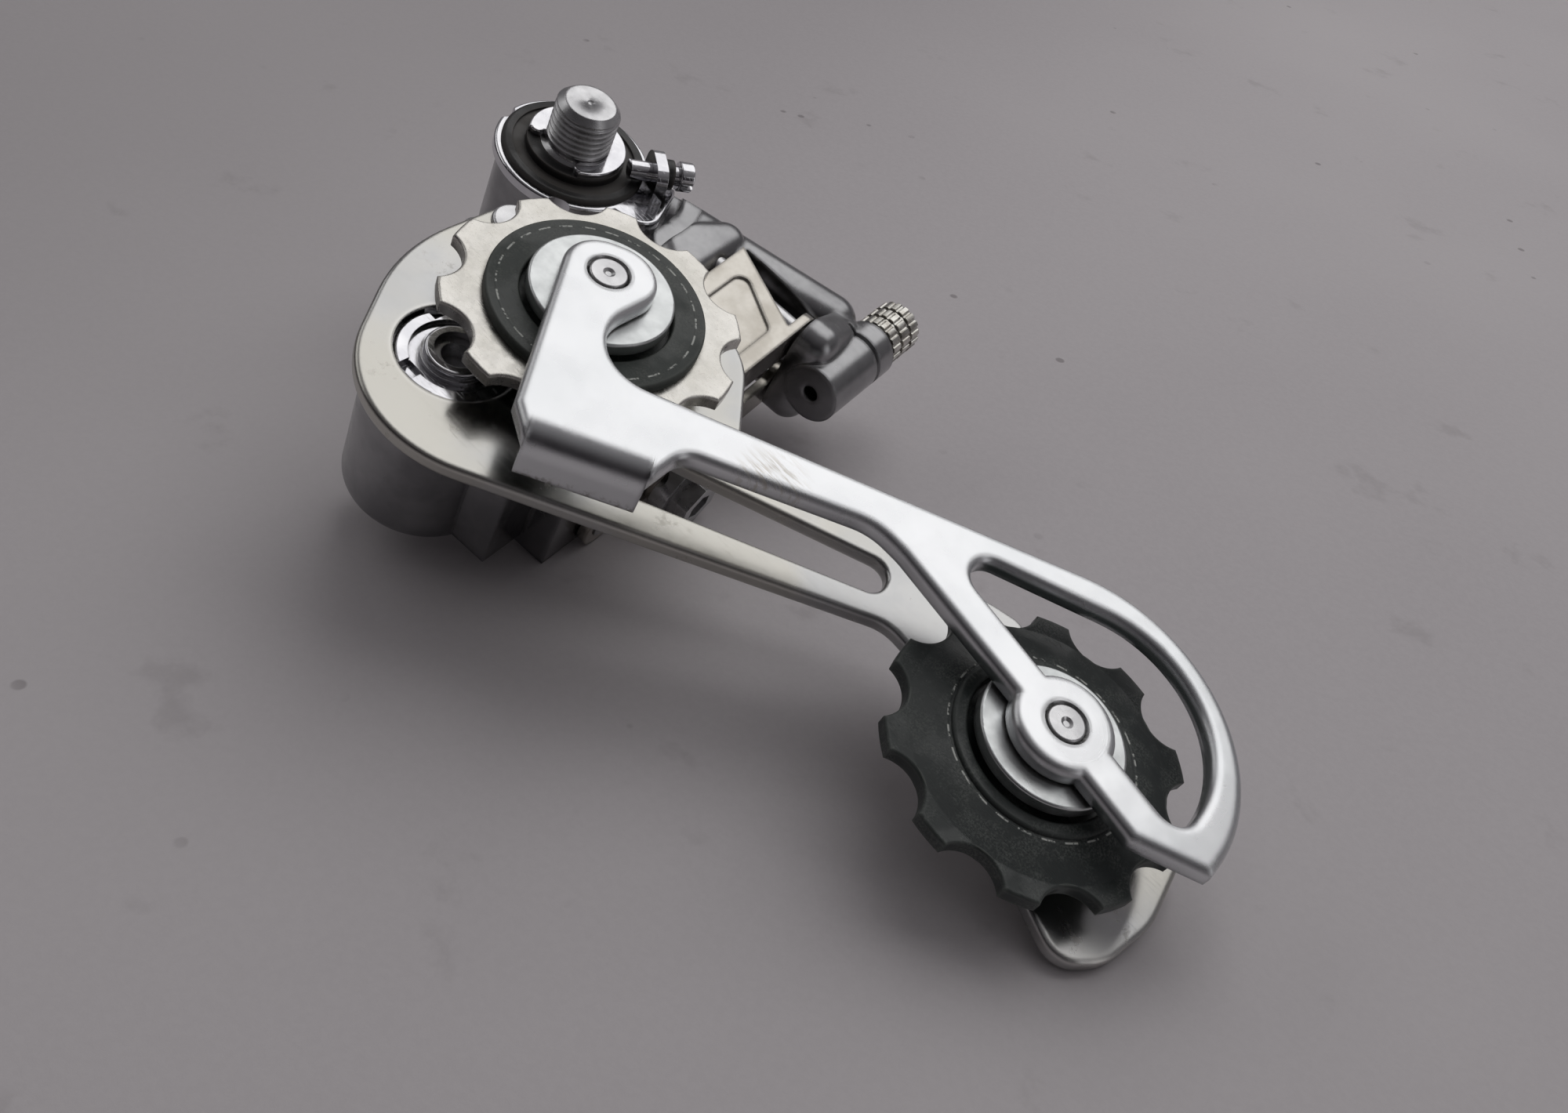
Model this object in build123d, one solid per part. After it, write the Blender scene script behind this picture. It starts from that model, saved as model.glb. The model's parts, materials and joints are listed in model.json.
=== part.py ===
from build123d import *
import os
from math import acos, atan2, cos, degrees, radians, sin, sqrt, tan

os.makedirs("parts", exist_ok=True)

# ---------------------------------------------------------------- frame
# Z is the hanger bolt axis, positive inboard; z = 0 is the face that meets the hanger.
# The cage is drawn about the guide pulley axis, its z = 0 is the inboard face of the pulley.
GUIDE_X, GUIDE_Y, CAGE_Z = 33.9, -33.1, 13.0
AXLE_SPACING = 78.4
PIVOT_X, PIVOT_Y = -6.3, -16.0
PLATE_IN_0, PLATE_IN_1 = 2.7, 5.1
PLATE_OUT_1, PLATE_OUT_0 = -7.7, -10.1
AXLE_R = 2.5
RUN = 0.05
# guard flange bent down from the inner plate, between these two outline corners
FLANGE_A, FLANGE_B = (14.2, -27.0), (26.3, -18.6)
FLANGE_Z, SHEET_IN, BEND_R = -2.3, 2.3, 3.6
EYE_IN_R = 6.7
STOP_PIN = (-20.6, 6.4)
STOP_PIN_R = 1.9

# pulleys: ten teeth for half inch chain
TEETH = 10
TIP_R = 20.0
VALLEY_AT, VALLEY_R = 21.9, 4.6
TOOTH_Z0, TOOTH_Z1 = -3.6, -1.46
HUB_Z0, HUB_Z1 = -5.0, 0.0
RING_IN_R = 14.6
BUSH_R, BUSH_HOLE_R = 4.2, 2.5
CAP_R = 9.6

# hanger bolt and upper knuckle
THREAD_R, THREAD_LEN = 5.0, 7.0
SHANK_R = 5.6
CLIP_R, CLIP_Z, CLIP_TOP = 7.6, -1.2, -0.15
GROOVE_R = 4.6
DUST_R, DUST_Z0, DUST_RIM_Z = 11.2, -3.0, -2.2
STOP_R, STOP_Z0, STOP_Z1 = 12.2, -4.6, -3.0
SCREW_B, SCREW_A, SCREW_Z = (8.1, 3.3), (12.63, 9.65), -0.3
SCREW_R, SCREW_HEAD_R = 1.5, 2.3
CUP_R, CUP_Z0, CUP_Z1 = 11.0, -22.0, -4.9

# slant parallelogram, drawn along X (pins) and Y (links), then turned by SLANT about Z
SLANT = 5.0
LINK_X0, LINK_X1 = 29.4, 45.1
LINK_LEN = 40.7
PIN_B_Y = 2.7
PIN_IN_Z, PIN_OUT_Z = -4.0, -14.5
REST_TILT = 6.0
PIN_R = 1.75
EYE_R = 3.5
SHEET = 1.5
PANEL_DEPTH = 0.4
PIN_P_Y = PIN_B_Y - LINK_LEN * cos(radians(REST_TILT))
PIN_DROP = LINK_LEN * sin(radians(REST_TILT))

# lower knuckle, coaxial with the cage pivot
PCUP_R, PCUP_TOP, PCUP_BOTTOM = 10.6, -11.0, -34.5
AXLE_P_R = 4.0

SPINE_TOP, SPINE_BOTTOM = -2.6, -19.5
BARREL_X, BARREL_Z = 51.8, -8.0
BOSS_R, KNOB_R = 4.7, 4.2
LIMIT_X, LIMIT_Z = 37.0, (-10.3, -15.7)
PIN_END_0, PIN_END_1 = 23.2, 49.4
ANCHOR_Y, ANCHOR_Z = -27.0, -0.4


def solid(s, z0, z1):
    return Pos(0, 0, z0) * extrude(s, z1 - z0)


def cyl(r, z0, z1, x=0.0, y=0.0):
    return Pos(x, y, z0) * Cylinder(r, z1 - z0, align=(Align.CENTER, Align.CENTER, Align.MIN))


def block(x0, x1, y0, y1, z0, z1):
    return Pos((x0 + x1) / 2, (y0 + y1) / 2, (z0 + z1) / 2) * Box(x1 - x0, y1 - y0, z1 - z0)


def rod_x(r, x0, x1, y, z):
    return Pos((x0 + x1) / 2, y, z) * Rot(0, 90, 0) * Cylinder(r, x1 - x0)


def rod_y(r, y0, y1, x, z):
    return Pos(x, (y0 + y1) / 2, z) * Rot(90, 0, 0) * Cylinder(r, y1 - y0)


def top_edges(shape, z, tol=0.02):
    return [e for e in shape.edges() if abs(e.bounding_box().min.Z - z) < tol
            and abs(e.bounding_box().max.Z - z) < tol]


def soften(shape, z, r):
    for size in (r, r * 0.6, r * 0.3):
        try:
            out = fillet(top_edges(shape, z), size)
            if out.is_valid and out.volume > 0:
                return out
        except Exception:
            continue
    print("   edge round skipped at z", round(z, 2))
    return shape


def slant(shape):
    return Rot(0, 0, SLANT) * shape


def cage(shape):
    return Pos(GUIDE_X, GUIDE_Y, CAGE_Z) * shape


def save(shape, name):
    shape.label = name
    export_step(shape, "parts/" + name + ".step")
    print(name, round(shape.volume, 1), len(shape.solids()), shape.is_valid)


def coil(radius, wire_r, z0, turns, pitch):
    path = Helix(pitch=pitch, height=pitch * turns, radius=radius)
    start = path @ 0
    tangent = path % 0
    profile = Plane(origin=start, z_dir=tangent) * Circle(wire_r)
    return Pos(0, 0, z0 + wire_r) * sweep(profile, path)


# ---------------------------------------------------------------- cage plates
def rounded(points):
    # closed outline from corners (x, y, corner radius), every rounding exactly tangent
    turns = []
    for k, (x, y, r) in enumerate(points):
        c = Vector(x, y)
        u = (Vector(*points[k - 1][:2]) - c).normalized()
        v = (Vector(*points[(k + 1) % len(points)][:2]) - c).normalized()
        half = acos(u.dot(v)) / 2
        turns.append((c + u * (r / tan(half)), c + (u + v).normalized() * (r / sin(half) - r),
                      c + v * (r / tan(half)), r))
    edges = []
    for k, (start, middle, end, r) in enumerate(turns):
        if r > 0:
            edges.append(Edge.make_three_point_arc(start, middle, end))
        edges.append(Edge.make_line(end, turns[(k + 1) % len(turns)][0]))
    face = Face(Wire(edges))
    return face if face.normal_at().Z > 0 else -face


def inner_outline():
    return rounded([
        (-8.33, 1.61, 5.5), (9.6, -24.4, 0.8), (14.2, -27.0, 0), (26.3, -18.6, 0),
        (25.75, -12.15, 3.5), (46.25, 1.35, 8.0), (51.0, 1.35, 12.0), (71.8, -1.9, 0),
        (83.4, -3.95, 0), (92.4, -5.5, 0),
        (101.6, -1.0, 0), (101.6, 40.65, 22.9), (6.0, -15.1, 7.0), (6.0, 11.3, 5.5)])


def inner_window():
    return rounded([
        (51.2, 7.1, 3.0), (72.4, 3.6, 0), (84.2, 1.9, 0), (96.2, -0.1, 3.0), (96.2, 30.3, 16.2)])


def inner_plate():
    body = solid(inner_outline(), PLATE_IN_0, PLATE_IN_1)
    body -= solid(inner_window(), PLATE_IN_0 - 1, PLATE_IN_1 + 1)
    body = soften(body, PLATE_IN_1, 1.1)
    eye = soften(cyl(EYE_IN_R, PLATE_IN_0, PLATE_IN_1), PLATE_IN_1, 1.1)
    body += Pos(AXLE_SPACING, 0, 0) * eye
    dx, dy = FLANGE_B[0] - FLANGE_A[0], FLANGE_B[1] - FLANGE_A[1]
    length = sqrt(dx * dx + dy * dy)
    flange = block(0, length, 0, SHEET_IN, FLANGE_Z, PLATE_IN_1)
    flange = fillet([e for e in flange.edges() if abs(e.center().Z - FLANGE_Z) < 0.01
                     and e.center().Y < 0.1], 0.9)
    corner = block(0, length, -1, BEND_R, PLATE_IN_1 - BEND_R, PLATE_IN_1 + 1)
    corner -= rod_x(BEND_R, -1, length + 1, BEND_R, PLATE_IN_1 - BEND_R)
    place = Pos(FLANGE_A[0], FLANGE_A[1], 0) * Rot(0, 0, degrees(atan2(dy, dx)))
    body = body + place * flange - place * corner
    for x in (0.0, AXLE_SPACING):
        body -= cyl(AXLE_R, PLATE_IN_0 - 1, PLATE_IN_1 + 1, x, 0)
        body -= cyl(AXLE_R + 0.4, PLATE_IN_1 - 0.5, PLATE_IN_1 + 1, x, 0)
    return body


def outer_outline():
    return rounded([
        (-24.3, -10.7, 28), (-6.3, -37.7, 17), (54.6, 2.9, 6), (62.0, 2.3, 2.5), (67.0, -4.0, 5),
        (74.5, -8.2, 5), (84.5, -8.2, 5), (88.6, -12.2, 1), (96.4, -15.6, 4.2), (100.6, -10.5, 8),
        (102.1, -1.5, 14), (100.2, 8.8, 1.2), (87.0, 8.6, 8), (76.0, 9.6, 6), (70.5, 13.0, 5),
        (66.5, 20.0, 3), (61.5, 18.6, 8), (50.0, 13.9, 10), (25.0, 5.5, 6), (13.5, 19.5, 12),
        (-9.0, 22.5, 16), (-24.3, 12.5, 15)])


def outer_slot():
    return rounded([(12.0, -7.8, 3.5), (49.2, 10.5, 2.5), (51.0, 5.35, 2.5), (14.5, -16.5, 3.5)])


def outer_plate():
    body = solid(outer_outline(), PLATE_OUT_0, PLATE_OUT_1)
    body -= solid(outer_slot(), PLATE_OUT_0 - 1, PLATE_OUT_1 + 1)
    body = soften(body, PLATE_OUT_1, 0.7)
    body = soften(body, PLATE_OUT_0, 0.7)
    body -= cyl(8.0, PLATE_OUT_0 - 1, PLATE_OUT_1 + 1, PIVOT_X, PIVOT_Y)
    for x in (0.0, AXLE_SPACING):
        body -= cyl(AXLE_R, PLATE_OUT_0 - 1, PLATE_OUT_1 + 1, x, 0)
    body -= cyl(STOP_PIN_R, PLATE_OUT_0 - 1, PLATE_OUT_1 + 1, *STOP_PIN)
    return body


# ---------------------------------------------------------------- pulleys
def tooth_profile(phase):
    disc = Circle(TIP_R)
    step = 360 / TEETH
    for k in range(TEETH):
        a = radians(phase + step * (k + 0.5))
        disc -= Pos(VALLEY_AT * cos(a), VALLEY_AT * sin(a)) * Circle(VALLEY_R)
    return disc


def toothed(phase, inner_r):
    body = solid(tooth_profile(phase) - Circle(inner_r), TOOTH_Z0, TOOTH_Z1)
    body = soften(body, TOOTH_Z1, 0.35)
    return soften(body, TOOTH_Z0, 0.35)


def hub_disc(outer_r):
    mid = (HUB_Z0 + HUB_Z1) / 2
    body = cyl(outer_r, HUB_Z0, HUB_Z1)
    for side in (0, 1):
        z0 = HUB_Z1 - 1.6 if side else HUB_Z0 - 1
        body -= cyl(CAP_R + 0.5, z0, z0 + 2.6)
    return body + cyl(7.0, mid - 2.2, mid + 2.2)


def bored(body):
    return body - cyl(BUSH_R + RUN, HUB_Z0 - 1, HUB_Z1 + 1)


def guide_hub():
    body = hub_disc(12.6)
    body += cyl(RING_IN_R, HUB_Z0, TOOTH_Z0) - cyl(12.0, HUB_Z0 - 1, HUB_Z1 + 1)
    body += cyl(RING_IN_R - 0.1, TOOTH_Z1, HUB_Z1) - cyl(12.0, TOOTH_Z1 - 1, HUB_Z1 + 1)
    return bored(soften(body, HUB_Z1, 0.3))


def guide_ring(phase):
    return toothed(phase, 12.6)


def tension_wheel(phase):
    rise = HUB_Z1 - 0.5 - TOOTH_Z1
    face = Pos(0, 0, TOOTH_Z1 + rise / 2) * Cone(17.2, 12.6, rise)
    middle = (HUB_Z0 + HUB_Z1) / 2
    back = Pos(0, 0, middle) * Rot(180, 0, 0) * Pos(0, 0, -middle) * face
    body = toothed(phase, 10.0) + (face + back - cyl(10.0, -9, 3))
    body += hub_disc(12.0)
    return bored(soften(body, HUB_Z1, 0.4))


def bushing(x):
    body = cyl(BUSH_R, -7.0, 2.0, x, 0)
    return body - cyl(BUSH_HOLE_R, -9, 4, x, 0)


def cap(x, flip):
    shell = cyl(CAP_R, 1.2, 2.2) + cyl(5.0, 2.2, 2.7) + cyl(CAP_R, 0.4, 1.3)
    shell = soften(shell, 2.2, 0.6)
    shell -= cyl(CAP_R - 0.8, 0.0, 1.2)
    shell -= cyl(BUSH_R, -1.0, 2.0)
    shell -= cyl(BUSH_HOLE_R, -1.0, 4.0)
    if flip:
        shell = Pos(0, 0, HUB_Z0) * Rot(180, 0, 0) * shell
    return Pos(x, 0, 0) * shell


def axle_bolt(x):
    body = soften(cyl(AXLE_R, PLATE_OUT_0, PLATE_IN_1, x, 0), PLATE_IN_1, 0.3)
    body += cyl(4.0, PLATE_OUT_0 - 2.4, PLATE_OUT_0, x, 0)
    socket = extrude(RegularPolygon(1.75, 6), 1.6)
    body -= Pos(x, 0, PLATE_OUT_0 - 2.4) * socket
    return body - Pos(x, 0, PLATE_IN_1) * Cone(0.4, 1.2, 0.6)


def stop_pin():
    top = PLATE_OUT_1 + 0.7
    head = soften(cyl(3.2, PLATE_OUT_1, top, *STOP_PIN), top, 0.5)
    return head + cyl(STOP_PIN_R, PLATE_OUT_0 - 2.6, PLATE_OUT_1, *STOP_PIN)


# ---------------------------------------------------------------- lower knuckle
def hull_plate(points, z0, z1):
    face = make_hull([e for x, y, r in points for e in (Pos(x, y) * Circle(r)).edges()])
    return solid(face, z0, z1)


def p_axis():
    a = radians(-SLANT)
    x, y = GUIDE_X + PIVOT_X, GUIDE_Y + PIVOT_Y
    return x * cos(a) - y * sin(a), x * sin(a) + y * cos(a)


def p_knuckle():
    px, py = p_axis()
    top, bottom = PCUP_TOP + CAGE_Z, PCUP_BOTTOM + CAGE_Z
    cup = cyl(PCUP_R, bottom, top, px, py)
    cup = soften(cup, bottom, 2.6)
    skirt = hull_plate([(px, py, PCUP_R), (px + 8.4, py + 1.0, 8.2)], bottom, top - 4.0)
    skirt = soften(skirt, bottom, 2.6)
    skirt = soften(skirt, top - 4.0, 1.2)
    z_in, z_out = PIN_IN_Z - PIN_DROP, PIN_OUT_Z - PIN_DROP
    x0, x1 = LINK_X0 + SHEET + 0.35, LINK_X1 - SHEET - 0.35
    tongue = block(x0, x1, py + 4.0, PIN_P_Y, z_out - EYE_R + 0.3, z_in + EYE_R - 0.3)
    tongue += rod_x(EYE_R - 0.3, x0, x1, PIN_P_Y, z_in) + rod_x(EYE_R - 0.3, x0, x1, PIN_P_Y, z_out)
    tongue += block(x0, x1, PIN_P_Y - 1, PIN_P_Y + EYE_R - 0.3, z_out, z_in)
    wall = block(x0, px + 15.6, py - 4.0, py + 7.0, bottom + 2.0, top - 6.0)
    body = cup + skirt + tongue + wall
    # stop lug for the cage pin, under the outer plate
    sx, sy = GUIDE_X + STOP_PIN[0], GUIDE_Y + STOP_PIN[1]
    a = radians(-SLANT)
    lx, ly = sx * cos(a) - sy * sin(a), sx * sin(a) + sy * cos(a)
    r = sqrt((lx - px) ** 2 + (ly - py) ** 2)
    t = atan2(ly - py, lx - px) + 4.4 / r
    lug = hull_plate([(px + 7 * cos(t), py + 7 * sin(t), 2.6),
                      (px + (r + 0.6) * cos(t), py + (r + 0.6) * sin(t), 2.0)], top - 2.6, top)
    body += lug
    # spring chamber, axle bore and counterbore
    body -= cyl(8.2, bottom + 6.5, top - 2.2, px, py)
    body -= cyl(AXLE_P_R + RUN, bottom - 1, top + 1, px, py)
    body -= cyl(7.0, bottom - 1, bottom + 3.2, px, py)
    for z in (z_in, z_out):
        body -= rod_x(PIN_R, x0 - 5, x1 + 5, PIN_P_Y, z)
    return slant(body)


def pivot_axle():
    z0 = PCUP_BOTTOM + 0.6
    head = soften(cyl(6.4, z0, PCUP_BOTTOM + 3.1), z0, 0.6)
    body = cyl(AXLE_P_R, PCUP_BOTTOM + 3.1, PLATE_OUT_0 - 0.6) + head
    body += cyl(3.0, PLATE_OUT_0 - 0.6, PLATE_OUT_1 - 0.5)
    body -= Pos(0, 0, z0) * extrude(RegularPolygon(2.9, 6), 1.8)
    body -= cyl(2.0, PLATE_OUT_1 - 3.0, PLATE_OUT_1 + 1)
    return cage(Pos(PIVOT_X, PIVOT_Y, 0) * body)


def spring_retainer():
    top = PLATE_OUT_1 - 0.6
    body = cyl(7.8, PLATE_OUT_0, top) + cyl(9.4, PLATE_OUT_0 - 0.6, PLATE_OUT_0)
    body = soften(body, top, 0.5)
    body -= cyl(6.0, top - 0.7, top + 1) - cyl(4.6, top - 2, top + 1)
    body += cyl(4.2, top, PLATE_OUT_1 + 0.5)
    body = soften(body, PLATE_OUT_1 + 0.5, 0.4)
    body -= cyl(3.0, PLATE_OUT_0 - 2, PLATE_OUT_1 + 2)
    body -= block(-2.6, 0.2, -7.4, -5.2, PLATE_OUT_0 + 0.4, top + 1)
    body -= block(-8.5, -6.0, 1.6, 4.4, PLATE_OUT_0 + 0.4, top + 1)
    return cage(Pos(PIVOT_X, PIVOT_Y, 0) * body)


def cage_spring():
    body = coil(6.3, 0.85, 0.0, 5, 2.0)
    return cage(Pos(PIVOT_X, PIVOT_Y, PCUP_BOTTOM + 8.0) * body)


# ---------------------------------------------------------------- upper knuckle
def mounting_bolt():
    body = cyl(THREAD_R, 0, THREAD_LEN) + cyl(GROOVE_R, CLIP_Z, 0) + cyl(SHANK_R, -20.0, CLIP_Z)
    body = chamfer(top_edges(body, THREAD_LEN), 1.1)
    head = soften(cyl(8.0, -23.6, -20.0), -23.6, 0.8)
    body += head
    body -= Pos(0, 0, -23.6) * extrude(RegularPolygon(3.46, 6), 3.4)
    return body - Pos(0, 0, THREAD_LEN) * Cone(0.2, 0.9, 0.8)


def retaining_clip():
    ring = cyl(CLIP_R, CLIP_Z, CLIP_TOP) - cyl(GROOVE_R, CLIP_Z - 1, 1)
    ring -= Pos(0, 0, CLIP_Z - 1) * extrude(Polygon((0, 0), (-14, -13), (14, -13), align=None), 4)
    for a in (218, 322):
        ring += cyl(1.15, CLIP_Z, CLIP_TOP, 6.25 * cos(radians(a)), 6.25 * sin(radians(a)))
    return soften(ring, CLIP_TOP, 0.3)


def dust_cap():
    body = soften(cyl(DUST_R, DUST_Z0, DUST_RIM_Z), DUST_RIM_Z, 0.6)
    body = body - cyl(9.6, DUST_RIM_Z - 0.35, 0) + cyl(7.7, DUST_Z0, CLIP_Z)
    return body - cyl(SHANK_R, DUST_Z0 - 1, 0)


def screw_axis():
    dx, dy = SCREW_A[0] - SCREW_B[0], SCREW_A[1] - SCREW_B[1]
    return degrees(atan2(dy, dx)), sqrt(dx * dx + dy * dy)


def along_screw(shape):
    # shape drawn along +X from the screw tip
    ang, _ = screw_axis()
    return Pos(SCREW_B[0], SCREW_B[1], SCREW_Z) * Rot(0, 0, ang) * shape


def stop_plate():
    body = cyl(STOP_R, STOP_Z0, STOP_Z1)
    body += hull_plate([(8, 1.5, 5.0), (13.4, 1.7, 3.5), (11.5, 8.0, 2.6)], STOP_Z0, STOP_Z1)
    body = soften(body, STOP_Z1, 0.5)
    for a in (196, 306):
        x, y = (STOP_R + 1.1) * cos(radians(a)), (STOP_R + 1.1) * sin(radians(a))
        body -= cyl(2.2, -9, 0, x, y)
    body -= cyl(SHANK_R, -9, 0)
    tab = block(3.4, 5.2, -4.2, 3.4, STOP_Z0 + 0.3 - SCREW_Z, 2.9)
    tab = fillet([e for e in tab.edges() if abs(e.center().Z - 2.9) < 0.1 and e.length < 2], 2.6)
    tab = along_screw(tab + rod_x(2.6, 3.4, 5.4, 0, 0))
    body += tab
    body -= along_screw(rod_x(SCREW_R + RUN, -4, 14, 0, 0))
    return body


def b_tension_screw():
    length = screw_axis()[1]
    body = rod_x(SCREW_R, 0.0, length, 0, 0)
    head = rod_x(SCREW_HEAD_R, length, length + 2.3, 0, 0)
    head = fillet(head.edges(), 0.3)
    head -= block(length + 1.4, length + 3, -3, 3, -0.35, 0.35)
    return along_screw(body + head)


def screw_sleeve():
    body = rod_x(SCREW_HEAD_R, 5.4, 6.8, 0, 0) - rod_x(SCREW_R + RUN, -4, 20, 0, 0)
    return along_screw(body)


def b_knuckle():
    cup = cyl(CUP_R, CUP_Z0, CUP_Z1)
    cup = soften(cup, CUP_Z0, 2.4)
    yb = PIN_B_Y + 6.3
    # spine behind the links, running from the cup to the cable boss
    spine = hull_plate([(9.0, 3.4, 5.5), (20.0, 6.6, 5.3), (44.6, 13.1, 4.4)],
                       SPINE_BOTTOM, SPINE_TOP)
    spine = soften(spine, SPINE_TOP, 4.2)
    spine = soften(spine, SPINE_BOTTOM, 3.0)
    ear_l = hull_plate([(22.0, 0.5, 4.6), (25.2, 8.0, 3.6), (25.2, -3.0, 3.6)], -18.5, -1.2)
    ear_l = soften(ear_l, -1.2, 3.4)
    boss = rod_y(BOSS_R, -1.0, 15.6, BARREL_X, BARREL_Z)
    # right ear drawn in the Y-Z plane, wrapped round both pins and run into the boss
    ear_r = hull_plate([(PIN_B_Y + 0.6, PIN_IN_Z - 0.2, 4.1), (PIN_B_Y, PIN_OUT_Z, 3.6),
                        (11.6, -8.4, 5.0), (11.0, -14.0, 4.0)], LINK_X1 + 0.35, LINK_X1 + 6.1)
    ear_r = Plane.YZ * soften(ear_r, LINK_X1 + 6.1, 3.2)
    body = cup + spine + ear_l + boss + ear_r
    # room for the links to swing between the ears
    gap0, gap1 = LINK_X0 - 0.4, LINK_X1 + 0.4
    room = block(gap0, gap1, -30, PIN_B_Y, -30, 5)
    for z in (PIN_IN_Z, PIN_OUT_Z):
        room += rod_x(6.2, gap0, gap1, PIN_B_Y, z)
    room += block(gap0, gap1, PIN_B_Y - 1, yb - 0.3, PIN_OUT_Z, PIN_IN_Z)
    body -= room
    # everything near the hanger bolt stays below the stop plate and the screw
    body -= cyl(18.0, CUP_Z1, 6)
    body -= cyl(21.4, -3.1, 6)
    body -= cyl(SHANK_R + RUN, -40, 5)
    body -= cyl(9.2, -17.0, CUP_Z1 - 2.0)
    body -= cyl(8.4, -40, -19.95)
    for z in (PIN_IN_Z, PIN_OUT_Z):
        body -= rod_x(PIN_R, PIN_END_0, PIN_END_1, PIN_B_Y, z)
    # cable way through the boss, with the adjuster seat at the rear
    cx, cz = BARREL_X, BARREL_Z
    body -= rod_y(1.3, -20, 20, cx, cz)
    body -= rod_y(3.05, 5.0, 20, cx, cz)
    body -= Pos(cx, 11.2, cz) * (Rot(90, 0, 0) * (Cylinder(8, 0.9) - Cylinder(3.9, 0.9))) \
        & block(cx - 3.5, cx + 9, 5, 14, cz - 1, cz + 9)
    # limit screw seats in the spine
    for z in LIMIT_Z:
        body -= rod_y(1.55, 5, 30, LIMIT_X, z)
    return slant(body)


def limit_screw(z):
    body = rod_y(1.5, 9.4, 17.2, LIMIT_X, z)
    head = rod_y(2.3, 17.2, 19.2, LIMIT_X, z)
    head -= block(LIMIT_X - 3, LIMIT_X + 3, 18.4, 22, z - 0.35, z + 0.35)
    head -= block(LIMIT_X - 0.35, LIMIT_X + 0.35, 18.4, 22, z - 3, z + 3)
    return slant(body + head)


def barrel_adjuster():
    cx, cz = BARREL_X, BARREL_Z
    body = rod_y(3.0, 6.0, 16.8, cx, cz)
    knob = Circle(KNOB_R)
    for k in range(18):
        a = radians(20 * k)
        knob -= Pos((KNOB_R + 0.12) * cos(a), (KNOB_R + 0.12) * sin(a)) * Circle(0.38)
    knob = Pos(cx, 24.4, cz) * Rot(90, 0, 0) * extrude(knob, 7.6)
    for y in (19.2, 22.0):
        ring = rod_y(6, y - 0.35, y + 0.35, cx, cz) - rod_y(KNOB_R - 0.35, y - 1, y + 1, cx, cz)
        knob -= ring
    body += knob
    body -= rod_y(1.1, 0, 30, cx, cz)
    body -= rod_y(2.6, 18.5, 30, cx, cz)
    return slant(body)


def b_spring():
    return coil(7.2, 0.8, -16.6, 3, 1.8)


# ---------------------------------------------------------------- links
def tilt(shape, y, z):
    return Pos(0, y, z) * Rot(REST_TILT, 0, 0) * shape


def link(side):
    # side +1: inner link, web on the inboard side; -1: outer link, web outboard
    web0, web1 = (2.0, EYE_R) if side > 0 else (-EYE_R, -2.0)
    end = (EYE_R, -3.6) if side > 0 else (-3.9, -3.9)
    body = solid(Polygon((LINK_X0, 4.8 - LINK_LEN), (LINK_X1, 4.8 - LINK_LEN), (LINK_X1, end[1]),
                         (LINK_X0, end[0]), align=None), web0, web1)
    for x0, x1 in ((LINK_X0, LINK_X0 + SHEET), (LINK_X1 - SHEET, LINK_X1)):
        if side > 0:
            wall = block(x0, x1, -LINK_LEN, 0, -2.2, web1)
        else:
            wall = block(x0, x1, -LINK_LEN, 0, web0, 2.2)
        wall += rod_x(EYE_R, x0, x1, 0, 0) + rod_x(EYE_R, x0, x1, -LINK_LEN, 0)
        body += wall
    z_web = web1 if side > 0 else web0
    panel = rounded([(LINK_X0 + 3.0, -24.0, 1.6), (LINK_X1 - 2.8, -24.0, 1.6),
                     (LINK_X1 - 2.8, end[1] - 2.2, 1.6), (LINK_X0 + 3.0, end[0] - 3.4, 1.6)])
    body -= solid(panel, z_web - PANEL_DEPTH, z_web + PANEL_DEPTH)
    for y in (0.0, -LINK_LEN):
        body -= rod_x(PIN_R + RUN, LINK_X0 - 2, LINK_X1 + 2, y, 0)
    return body


def inner_link():
    return slant(tilt(link(1), PIN_B_Y, PIN_IN_Z))


def outer_link():
    body = link(-1)
    pad = rod_x(4.2, LINK_X1 - SHEET, LINK_X1 + 1.2, ANCHOR_Y, ANCHOR_Z)
    body += pad
    body -= rod_x(2.5, LINK_X1 - 6, LINK_X1 + 4, ANCHOR_Y, ANCHOR_Z)
    return slant(tilt(body, PIN_B_Y, PIN_OUT_Z))


def anchor_bolt():
    x0 = LINK_X1 + 1.2
    body = rod_x(2.5, LINK_X1 - 5.0, x0 + 2.6, ANCHOR_Y, ANCHOR_Z)
    head = Pos(x0 + 2.6, ANCHOR_Y, ANCHOR_Z) * Rot(0, 90, 0) * extrude(RegularPolygon(4.2, 6), 3.2)
    head -= Pos(x0 + 4.4, ANCHOR_Y, ANCHOR_Z) * Rot(0, 90, 0) * extrude(RegularPolygon(2.3, 6), 3)
    return slant(tilt(body + head, PIN_B_Y, PIN_OUT_Z))


def anchor_washer():
    x0 = LINK_X1 + 1.2
    body = rod_x(5.0, x0, x0 + 2.6, ANCHOR_Y, ANCHOR_Z) - rod_x(2.5, x0 - 1, x0 + 4, ANCHOR_Y, ANCHOR_Z)
    body -= rod_y(0.9, ANCHOR_Y - 8, ANCHOR_Y + 8, x0, 3.2)
    return slant(tilt(body, PIN_B_Y, PIN_OUT_Z))


def anchor_nut():
    x1 = LINK_X1 - SHEET
    body = Pos(x1 - 2.6, ANCHOR_Y, ANCHOR_Z) * Rot(0, 90, 0) * extrude(RegularPolygon(3.6, 6), 2.6)
    body -= rod_x(2.5, x1 - 6, x1 + 2, ANCHOR_Y, ANCHOR_Z)
    body &= block(0, 80, -60, 20, -1.98, 9)
    return slant(tilt(body, PIN_B_Y, PIN_OUT_Z))


def pins_b(zs):
    parts = [slant(rod_x(PIN_R, PIN_END_0, PIN_END_1, PIN_B_Y, z)) for z in zs]
    return Compound(children=parts)


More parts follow.
